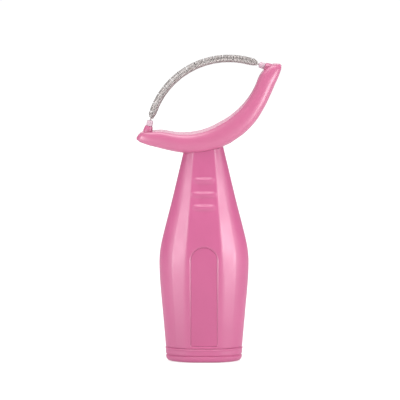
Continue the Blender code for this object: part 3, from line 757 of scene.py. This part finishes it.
def make_front_shell(material):
    """Front half of the handle with its ribs, the inlay's pocket and the bow's seat; no bosses."""
    heights = [SHELL_BOTTOM + step for step in EDGE_STEPS]
    heights += steps_between(9.0, RIB_ZONE[0], 1.1)
    heights += steps_between(RIB_ZONE[0], RIB_ZONE[1], 0.27)[1:]
    heights += steps_between(RIB_ZONE[1], SHELL_TOP, 1.0)[1:]
    shell = make_wall("shell_front", front_outline, -1, heights)
    combine(shell, "DIFFERENCE", bow_solid(NECK_GAP))
    combine(shell, "DIFFERENCE", make_pocket())
    return finish_piece(shell, material, "frame", "handle_plastic", "front_shell")


def screw_bore(x, height, seat):
    """Clearance hole and counterbore with a rounded mouth, as one turned cutter."""
    mouth = blend(HANDLE_STATIONS, height)[2] * (1.0 - 0.35 * (abs(x) / 19.0) ** 2)
    profile = [
        (-1.0, 0), (-1.0, SCREW_CLEAR_RADIUS), (seat, SCREW_CLEAR_RADIUS), (seat, SCREW_BORE_RADIUS),
        (mouth - 0.5, SCREW_BORE_RADIUS), (mouth + 0.6, SCREW_BORE_RADIUS + 0.8),
        (mouth + 6.0, SCREW_BORE_RADIUS + 0.8), (mouth + 6.0, 0),
    ]
    return turned("Bore", (x, 0.0, height), (0, 1, 0), (1, 0, 0), profile, 44)


def make_rear_shell(material):
    """Rear half of the handle with its screw bosses and bores, and the bow's seat."""
    heights = [SHELL_BOTTOM + step for step in EDGE_STEPS]
    heights += steps_between(9.0, SHELL_TOP, 1.3)
    shell = make_wall("shell_rear", rear_outline, 1, heights)
    bosses = []
    bores = []
    for x, height, seat, _ in SCREWS.values():
        start = SHELL_GAP if x else UPPER_BOSS_START
        top = LOWER_BOSS_TOP if x else seat + UPPER_BOSS_RISE
        tip = top + BOSS_TIP_HEIGHT
        profile = [(start, 0), (start, BOSS_RADIUS), (top, BOSS_RADIUS), (tip, BOSS_TIP_RADIUS), (tip, 0)]
        bosses.append(turned("Boss", (x, 0.0, height), (0, 1, 0), (1, 0, 0), profile))
        bores.append(screw_bore(x, height, seat))
    combine(shell, "UNION", *bosses)
    combine(shell, "DIFFERENCE", *bores)
    combine(shell, "DIFFERENCE", bow_solid(NECK_GAP))
    return finish_piece(shell, material, "frame", "handle_plastic", "rear_shell")


def full_ring(height, distance):
    """The whole outline of the handle's foot at one height, moved in by a distance."""
    front = inset(front_outline(BASE_HEIGHT), distance)
    rear = inset(rear_outline(BASE_HEIGHT), distance)
    return [(x, y, height) for x, y in front + list(reversed(rear[1:-1]))]


def make_base_cap(material):
    """Foot of the handle: a stepped band with soft edges, and a skirt that plugs into the shells."""
    profile = [(0.0, 3.0), (0.0, FOOT_FACE_INSET)]
    for step in range(1, 9):
        angle = math.pi / 2 * step / 8
        height = FOOT_ROUND_HEIGHT * (1.0 - math.cos(angle))
        profile.append((height, FOOT_FACE_INSET - FOOT_ROUND_REACH * math.sin(angle)))
    groove = BASE_STEP_HEIGHT - 0.2
    profile += [(groove + rise, distance) for rise, distance in FOOT_GROOVE]
    profile.append((FOOT_WAIST_HEIGHT, 0.0))
    profile += [(BASE_HEIGHT + rise, distance) for rise, distance in FOOT_EDGE]
    profile.append((BASE_HEIGHT, PLUG_INSET))
    profile += [(PLUG_TOP - 0.3, PLUG_INSET + 0.1), (PLUG_TOP, PLUG_INSET + 0.4)]
    profile += [(PLUG_TOP, BASE_HOLLOW), (BASE_FLOOR, BASE_HOLLOW)]
    cap = loft("foot_cap", [full_ring(height, distance) for height, distance in profile])
    return finish_piece(cap, material, "frame", "handle_plastic", "base_cap")


def make_screw(name, x, height, seat, length, material):
    """Pan-head self-tapping screw with a cross recess and a rolled thread."""
    seat += 0.05
    top = seat + SCREW_HEAD_HEIGHT
    profile = [(seat - length, 0), (seat - length + 0.9, SCREW_RADIUS * 0.55)]
    turns = int((length - 2.6) / SCREW_THREAD_PITCH)
    for index in range(turns):
        foot = seat - length + 1.5 + index * SCREW_THREAD_PITCH
        profile.append((foot, SCREW_RADIUS - SCREW_THREAD_DEPTH))
        profile.append((foot + SCREW_THREAD_PITCH * 0.35, SCREW_RADIUS))
        profile.append((foot + SCREW_THREAD_PITCH * 0.5, SCREW_RADIUS))
    neck = SCREW_RADIUS * 0.9
    profile += [
        (seat - 0.6, neck), (seat, neck), (seat, SCREW_HEAD_RADIUS - HEAD_EDGE_ROUND),
        (seat + HEAD_EDGE_ROUND, SCREW_HEAD_RADIUS),
        (seat + SCREW_HEAD_HEIGHT * HEAD_SIDE_SHARE, SCREW_HEAD_RADIUS),
    ]
    for step in range(1, 8):
        angle = math.pi / 2 * step / 7
        rise = SCREW_HEAD_HEIGHT * (HEAD_SIDE_SHARE + (1.0 - HEAD_SIDE_SHARE) * math.sin(angle))
        profile.append((seat + rise, SCREW_HEAD_RADIUS * math.cos(angle) ** 0.7 if step < 7 else 0))
    screw = turned(f"{name}_fine", (x, 0.0, height), (0, 1, 0), (1, 0, 0), profile)
    reach = RECESS_REACH
    slot = RECESS_HALF_WIDTH
    cross = [
        (slot, slot), (slot, reach), (-slot, reach), (-slot, slot), (-reach, slot), (-reach, -slot),
        (-slot, -slot), (-slot, -reach), (slot, -reach), (slot, -slot), (reach, -slot), (reach, slot),
    ]
    rings = []
    for depth, share in ((top - RECESS_DEPTH, 0.55), (top - 0.1, 0.95), (top + 1.0, 1.2)):
        rings.append([(x + dx * share, depth, height + dz * share) for dx, dz in cross])
    combine(screw, "DIFFERENCE", loft("Recess", rings))
    return finish_piece(screw, material, "frame", "screw_steel", name)


# -------- bow

def place(u, v, y):
    """Turns a point in the frame of the bow to the frame of the part."""
    cosine = math.cos(HEAD_TILT)
    sine = math.sin(HEAD_TILT)
    return Vector((u * cosine - v * sine, y, HEAD_HEIGHT + u * sine + v * cosine))


def turn(u, v):
    """Turns a direction in the frame of the bow to the frame of the part."""
    cosine = math.cos(HEAD_TILT)
    sine = math.sin(HEAD_TILT)
    return Vector((u * cosine - v * sine, 0.0, u * sine + v * cosine))


def left_sag(u, most):
    """How much lower the left arm hangs at a distance along the chord."""
    return most * math.sin(math.pi * -u / BOW_TIP_U) if u < 0 else 0.0


def deck_height(u):
    """Height of the inner face: an arc in the middle, then a shape that carries the posts."""
    reach = abs(u)
    if reach > DECK_TIPS[0][0]:
        right, left = blend(DECK_TIPS, reach)
        return right if u > 0 else left
    arc = DECK_CENTRE_V - math.sqrt(DECK_RADIUS**2 - reach**2)
    return arc - left_sag(u, DECK_SAG)


class Station:
    """A section plane of the bow at a signed distance along its chord."""

    def __init__(self, u):
        keel_u, keel_v, self.depth = blend(BOW_STATIONS, abs(u))
        self.deck = (u + BOW_SHIFT_U, deck_height(u))
        keel = (math.copysign(keel_u, u) + BOW_SHIFT_U, keel_v - left_sag(u, KEEL_SAG))
        self.thickness = math.dist(self.deck, keel)
        self.run = tuple((k - d) / self.thickness for k, d in zip(keel, self.deck))
        self.rim = self.depth * BOW_SECTION[0][0]
        self.recess = self.rim - RIM_WIDTH

    def point(self, distance, y):
        """A point at a distance from the deck towards the keel."""
        return place(self.deck[0] + self.run[0] * distance, self.deck[1] + self.run[1] * distance, y)


FINE_SECTION = curve_through(BOW_SECTION, 5)


def section_from(level, count):
    """The fine half section from a level down to the keel, as (share of depth, level) pairs."""
    start = next(index for index, (_, here) in enumerate(FINE_SECTION) if here >= level)
    first = FINE_SECTION[start]
    if start:
        before = FINE_SECTION[start - 1]
        share = (level - before[1]) / (first[1] - before[1])
        first = (before[0] + (first[0] - before[0]) * share, level)
    rest = [first] + FINE_SECTION[start + (first == FINE_SECTION[start]):]
    picked = []
    for index in range(count):
        key = index * (len(rest) - 1) / (count - 1)
        low = min(int(key), len(rest) - 2)
        share = key - low
        picked.append(tuple(a + (b - a) * share for a, b in zip(rest[low], rest[low + 1])))
    return picked


def bow_marks(end):
    """Signed distances along the chord, closer near the tips."""
    half = steps_between(0.0, 30.0, BOW_SPACING)[1:] + steps_between(30.0, end, 0.6)[1:]
    return [-mark for mark in reversed(half)] + [0.0] + half


def bow_solid(grow):
    """The whole outside of the bow near the neck as one solid, grown on every side."""
    rings = []
    for mark in steps_between(-24.3, 24.3, 0.9):
        station = Station(mark)
        depth = station.depth + grow
        ring = []
        for share, level in FINE_SECTION:
            ring.append(station.point((station.thickness + 2 * grow) * level - grow, -depth * share))
        ring += [Vector((point.x, -point.y, point.z)) for point in reversed(ring[:-1])]
        rings.append(ring)
    return loft("Bow", rings)


def hull_ring(mark):
    """Section of the hollow hull: its outside, the rim, the cover's recess and the cavity."""
    station = Station(mark)
    step = COVER_THICKNESS + COVER_GAP if abs(mark) <= COVER_END_U + COVER_GAP else 0.0
    outside = [
        (level * station.thickness, share * station.depth) for share, level in section_from(0.0, 44)
    ]
    outside[0] = (0.12, station.rim + 0.1)
    rim = [(0.03, station.rim), (0.0, station.rim - 0.14), (0.0, station.recess + 0.2)]
    rim += [(0.03, station.recess + 0.07), (min(0.12, step), station.recess)]
    fade = 1.0 - smooth((abs(mark) - CAVITY_FADE_U) / (CAVITY_END_U - CAVITY_FADE_U))
    top = step - 1.0
    length = station.thickness - BOW_WALL - top
    width = max(min(station.depth - BOW_SIDE_WALL, station.recess - 0.3), 0.3)
    inside = [(step, station.recess)]
    for index, (share, level) in enumerate(section_from((step - top) / length if step else 0.1, 14)):
        share = share * fade + (1.0 - index / 13) * (1.0 - fade)
        inside.append((step + max(top + length * level - step, 0.0) * fade, share * width))
    half = list(reversed(outside)) + rim + inside
    ring = [station.point(distance, -y) for distance, y in half]
    return ring + [station.point(distance, y) for distance, y in reversed(half[1:-1])]


def make_bow_hull(material):
    """Hollow body of the bow, open under its cover, with blunt rounded tips and without the tang."""
    step_end = COVER_END_U + COVER_GAP
    marks = [mark for mark in bow_marks(BOW_TIP_U) if abs(abs(mark) - step_end) > 0.2]
    marks = sorted(marks + [-step_end - 0.06, -step_end, step_end, step_end + 0.06])
    hull = loft("bow_body", round_tips([hull_ring(mark) for mark in marks]))
    socket = [(-1.6, 0), (-1.6, POST_ROOT_RADIUS + 0.2), (1.5, POST_ROOT_RADIUS + 0.2), (1.5, 0)]
    combine(hull, "DIFFERENCE", *[turned("Socket", *post_frame(side), socket) for side in (-1, 1)])
    return finish_piece(hull, material, "frame", "bow_plastic", "bow_hull")


def round_tips(rings):
    """Closes both ends of a row of rings with a blunt dome."""
    def dome(last, before):
        centre = sum(last, Vector()) / len(last)
        out = (centre - sum(before, Vector()) / len(before)).normalized()
        caps = []
        for step in range(1, 7):
            angle = math.pi / 2 * step / 6
            share = max(math.cos(angle), TIP_LEAST_SHARE)
            rise = out * TIP_DOME_HEIGHT * math.sin(angle)
            caps.append([centre + (point - centre) * share + rise for point in last])
        return caps

    head = dome(rings[0], rings[1])
    tail = dome(rings[-1], rings[-2])
    return list(reversed(head)) + rings + tail


def post_frame(side):
    """Foot of a post's axis on the deck, the axis direction and a direction across it."""
    sine = math.sin(COIL_END_ANGLE)
    cosine = math.cos(COIL_END_ANGLE)
    arc_u = side * COIL_ARC_RADIUS * sine
    arc_v = COIL_CENTRE_V + COIL_ARC_RADIUS * cosine
    foot = place(arc_u + side * cosine * DECK_TO_ARC, arc_v - sine * DECK_TO_ARC, 0.0)
    return foot, turn(-side * cosine, sine), Vector((0.0, 1.0, 0.0))


def make_deck_cover(material):
    """Cover set in the inner face of the bow, with a bored, flared stub for each post."""
    rings = []
    for mark in bow_marks(COVER_END_U):
        station = Station(mark)
        width = station.recess - COVER_SIDE_GAP
        dish = 0.15 * smooth((station.depth - 4.0) / 3.0)
        profile = [(dish, 0.0), (dish, width * 0.35), (dish * 0.85, width * 0.65), (dish * 0.3, width - 0.6)]
        profile += [(0.02, width - 0.3), (0.05, width - 0.14), (0.14, width - 0.04), (0.28, width)]
        profile += [(COVER_THICKNESS - 0.1, width), (COVER_THICKNESS, width - 0.1), (COVER_THICKNESS, 0.0)]
        ring = [station.point(distance, -y) for distance, y in profile]
        ring += [station.point(distance, y) for distance, y in reversed(profile[1:-1])]
        rings.append(ring)
    cover = loft("bow_cover", rings)
    stub = [
        (POST_BOTTOM, 0), (POST_BOTTOM, POST_ROOT_RADIUS), (0.4, POST_ROOT_RADIUS),
        (1.4, POST_TOP_RADIUS + 0.16),
        (POST_TOP - 0.3, POST_TOP_RADIUS), (POST_TOP - 0.08, POST_TOP_RADIUS - 0.08),
        (POST_TOP, POST_TOP_RADIUS - 0.3), (POST_TOP, 0),
    ]
    bore = [
        (POST_BOTTOM - 3.0, 0), (POST_BOTTOM - 3.0, POST_BORE_RADIUS),
        (POST_TOP + 1.0, POST_BORE_RADIUS), (POST_TOP + 1.0, 0),
    ]
    combine(cover, "UNION", *[turned("Stub", *post_frame(side), stub) for side in (-1, 1)])
    combine(cover, "DIFFERENCE", *[turned("Bore", *post_frame(side), bore) for side in (-1, 1)])
    return finish_piece(cover, material, "frame", "bow_plastic", "deck_cover")


def make_bush(word, side, material):
    """Bush with a stem in the post and a domed shoulder on top of it."""
    profile = [
        (BUSH_BOTTOM, BUSH_BORE_RADIUS), (BUSH_BOTTOM, BUSH_STEM_RADIUS),
        (BUSH_SHOULDER, BUSH_STEM_RADIUS), (BUSH_SHOULDER, BUSH_RADIUS),
        (BUSH_TOP - 0.5, BUSH_RADIUS * 0.95), (BUSH_TOP - 0.15, BUSH_RADIUS * 0.8),
        (BUSH_TOP, BUSH_RADIUS * 0.6), (BUSH_TOP, BUSH_BORE_RADIUS),
    ]
    bush = turned(f"post_bush_{word}", *post_frame(side), rounded(profile, 0.16))
    return finish_piece(bush, material, "frame", "nylon", f"bush_{word}")


def make_spindle(word, side, material):
    """Pin that turns in a bush; its head sits inside the coil."""
    profile = [
        (SPINDLE_BOTTOM, 0), (SPINDLE_BOTTOM, SPINDLE_RADIUS),
        (SPINDLE_HEAD_BOTTOM, SPINDLE_RADIUS), (SPINDLE_HEAD_BOTTOM, SPINDLE_HEAD_RADIUS),
        (SPINDLE_HEAD_TOP, SPINDLE_HEAD_RADIUS), (SPINDLE_HEAD_TOP, 0),
    ]
    spindle = turned(f"post_spindle_{word}", *post_frame(side), rounded(profile, 0.14), 32)
    return finish_piece(spindle, material, f"{word}_end", "pin_steel", f"spindle_{word}")


def make_retainer(word, side, material):
    """Plain ring pushed on to the inner end of the spindle."""
    profile = [
        (RETAINER_BOTTOM, RETAINER_BORE_RADIUS), (RETAINER_BOTTOM, RETAINER_RADIUS),
        (RETAINER_TOP, RETAINER_RADIUS), (RETAINER_TOP, RETAINER_BORE_RADIUS),
    ]
    ring = turned(f"spindle_ring_{word}", *post_frame(side), rounded(profile, 0.1), 40)
    return finish_piece(ring, material, f"{word}_end", "pin_steel", f"retainer_{word}")


# -------- coil

def wire(name, centre, axis, across, stations):
    """A round wire through stations of (distance along the axis, radius, angle)."""
    other = axis.cross(across)
    line = []
    for distance, radius, angle in stations:
        out = across * math.cos(angle) + other * math.sin(angle)
        line.append((centre + axis * distance + out * radius, out))
    rings = []
    for index, (point, out) in enumerate(line):
        ahead = line[min(index + 1, len(line) - 1)][0] - line[max(index - 1, 0)][0]
        beside = ahead.cross(out).normalized()
        taper = WIRE_TIP_SHARE if index in (0, len(line) - 1) else 1.0
        ring = []
        for side in range(WIRE_SIDES):
            angle = math.tau * side / WIRE_SIDES
            ring.append(point + (out * math.cos(angle) + beside * math.sin(angle)) * WIRE_RADIUS * taper)
        rings.append(ring)
    return loft(name, rings)


def make_coil_run(index, material):
    """One straight run of turns; its wire starts where the run before it stops."""
    middle = (index - (RUN_COUNT - 1) / 2) * RUN_SPAN
    reach = COIL_ARC_RADIUS * math.cos(RUN_SPAN / 2)
    centre = place(reach * math.sin(middle), COIL_CENTRE_V + reach * math.cos(middle), 0.0)
    axis = turn(math.cos(middle), -math.sin(middle))
    start_angle = index * RUN_TURN + RUN_END_ANGLE
    sweep = RUN_TURN - 2 * RUN_END_ANGLE
    steps = round(sweep / math.tau * TURN_STEPS)
    stations = []
    for step in range(steps + 1):
        angle = start_angle + sweep * step / steps
        distance = (angle - index * RUN_TURN) / math.tau * COIL_PITCH - (RUN_LENGTH - RUN_GAP) / 2
        stations.append((distance, COIL_RADIUS, angle))
    number = f"{index + 1:02d}"
    run = wire(f"spring_run_{number}", centre, axis, Vector((0.0, -1.0, 0.0)), stations)
    return finish_piece(run, material, f"run_{number}", "spring_steel", f"coil_run_{number}", angle=60.0)


def make_coil_end(word, side, material):
    """The cone at one end of the coil, drawn in around its spindle."""
    foot, axis, _ = post_frame(side)
    tip = CONE_START + WIRE_RADIUS
    join = END_RUN_TOP - END_GAP
    sweep = math.tau * (join - tip) / COIL_PITCH
    steps = round(sweep / math.tau * TURN_STEPS)
    stations = []
    for step in range(steps + 1):
        share = step / steps
        distance = tip + (join - tip) * share
        narrow = min((distance - tip) / CONE_LENGTH, 1.0)
        radius = CONE_SMALL_RADIUS + (COIL_RADIUS - CONE_SMALL_RADIUS) * narrow
        back = sweep * (1.0 - share) + RUN_END_ANGLE
        angle = -back if side < 0 else RUN_COUNT * RUN_TURN + back
        stations.append((-side * distance, radius, angle))
    end = wire(f"spring_end_{word}", foot, axis * -side, Vector((0.0, -1.0, 0.0)), stations)
    return finish_piece(end, material, f"{word}_end", "spring_steel", f"coil_end_{word}", angle=60.0)


# -------- stage

def make_floor():
    """Pale, plain floor; its glow keeps it even, and it takes only a faint shadow."""
    mesh = bpy.data.meshes.new("floor")
    side = FLOOR_HALF_SIDE
    corners = [(-side, -side, 0), (side, -side, 0), (side, side, 0), (-side, side, 0)]
    mesh.from_pydata(corners, [], [(0, 1, 2, 3)])
    floor = add_object("floor", mesh)
    floor.location.z = -FLOOR_DROP
    material = bpy.data.materials.new("pale_floor")
    material.use_nodes = True
    tree = material.node_tree
    shader = tree.nodes["Principled BSDF"]
    shader.inputs["Base Color"].default_value = (0.42, 0.42, 0.42, 1.0)
    shader.inputs["Roughness"].default_value = 0.9
    shader.inputs["Specular IOR Level"].default_value = 0.1
    shader.inputs["Emission Color"].default_value = (1.0, 1.0, 1.0, 1.0)
    path = tree.nodes.new("ShaderNodeLightPath")
    glow = tree.nodes.new("ShaderNodeMapRange")
    glow.inputs["To Min"].default_value = FLOOR_GLOW
    glow.inputs["To Max"].default_value = FLOOR_GLOW_SEEN
    tree.links.new(path.outputs["Is Camera Ray"], glow.inputs["Value"])
    tree.links.new(glow.outputs["Result"], shader.inputs["Emission Strength"])
    mesh.materials.append(material)


def make_world():
    """White surroundings to look at, and a dimmer dome that lights the object from above."""
    world = bpy.data.worlds.new("studio")
    bpy.context.scene.world = world
    world.use_nodes = True
    tree = world.node_tree
    tree.nodes.clear()
    kinds = "OutputWorld MixShader LightPath Background Background TexCoord SeparateXYZ ValToRGB"
    made = [tree.nodes.new(f"ShaderNode{kind}") for kind in kinds.split()]
    output, mix, path, seen, dome, direction, split, ramp = made
    seen.inputs["Color"].default_value = (1.0, 1.0, 1.0, 1.0)
    dome.inputs["Strength"].default_value = 1.0
    ramp.color_ramp.elements[0].position = 0.0
    ramp.color_ramp.elements[0].color = DOME_LOW
    ramp.color_ramp.elements[1].position = 0.75
    ramp.color_ramp.elements[1].color = DOME_HIGH
    tree.links.new(direction.outputs["Generated"], split.inputs["Vector"])
    tree.links.new(split.outputs["Z"], ramp.inputs["Fac"])
    tree.links.new(ramp.outputs["Color"], dome.inputs["Color"])
    tree.links.new(path.outputs["Is Camera Ray"], mix.inputs["Fac"])
    tree.links.new(dome.outputs["Background"], mix.inputs[1])
    tree.links.new(seen.outputs["Background"], mix.inputs[2])
    tree.links.new(mix.outputs["Shader"], output.inputs["Surface"])


def add_light(name, azimuth, elevation, distance, width, height, power):
    """A soft box aimed at the middle of the object; azimuth 0 is in front, positive to the right."""
    light = bpy.data.lights.new(name, "AREA")
    light.shape = "RECTANGLE"
    light.size = width
    light.size_y = height
    light.energy = power
    obj = add_object(name, light)
    across = math.radians(azimuth)
    up = math.radians(elevation)
    towards = Vector((math.sin(across) * math.cos(up), -math.cos(across) * math.cos(up), math.sin(up)))
    obj.visible_camera = False
    obj.location = VIEW_CENTRE + towards * distance
    obj.rotation_euler = towards.to_track_quat("Z", "Y").to_euler()


def make_camera():
    """Camera at the photograph's angle, without perspective."""
    data = bpy.data.cameras.new("camera")
    data.type = "ORTHO"
    data.ortho_scale = VIEW_WIDTH
    data.clip_start = 0.01
    data.clip_end = 50.0
    camera = add_object("camera", data)
    towards = Vector((0.0, -math.cos(VIEW_ELEVATION), math.sin(VIEW_ELEVATION)))
    camera.location = VIEW_CENTRE + towards * VIEW_DISTANCE
    camera.rotation_euler = towards.to_track_quat("Z", "Y").to_euler()
    bpy.context.scene.camera = camera


def main():
    bpy.context.scene.view_settings.view_transform = "Standard"
    make_camera()
    make_world()
    for name, box in SOFT_BOXES.items():
        add_light(name, *box)
    make_floor()

    pink = (0.44, 0.086, 0.205)
    handle_plastic = plastic("handle_plastic", pink, 0.38)
    inlay_plastic = plastic("inlay_plastic", (0.42, 0.074, 0.19), 0.44, 1.2)
    bow_plastic = plastic("bow_plastic", (0.455, 0.10, 0.21), 0.40, 0.6, 0.3)
    bearing_nylon = nylon("nylon", (0.52, 0.37, 0.43))
    spring_steel = steel("spring_steel", (0.47, 0.44, 0.43), 0.50, (400.0, 400.0, 400.0))
    pin_steel = steel("pin_steel", (0.42, 0.36, 0.36), 0.34, (2500.0, 500.0, 2500.0))
    screw_steel = steel("screw_steel", (0.56, 0.56, 0.57), 0.34, (1200.0, 300.0, 1200.0))

    make_front_shell(handle_plastic)
    make_rear_shell(handle_plastic)
    make_base_cap(handle_plastic)
    make_inlay(inlay_plastic)
    make_bow_hull(bow_plastic)
    make_deck_cover(bow_plastic)
    for name, (x, height, seat, length) in SCREWS.items():
        make_screw(name, x, height, seat, length, screw_steel)
    for side, word in ((-1, "left"), (1, "right")):
        make_bush(word, side, bearing_nylon)
        make_spindle(word, side, pin_steel)
        make_retainer(word, side, pin_steel)
        make_coil_end(word, side, spring_steel)
    for index in range(RUN_COUNT):
        make_coil_run(index, spring_steel)


main()
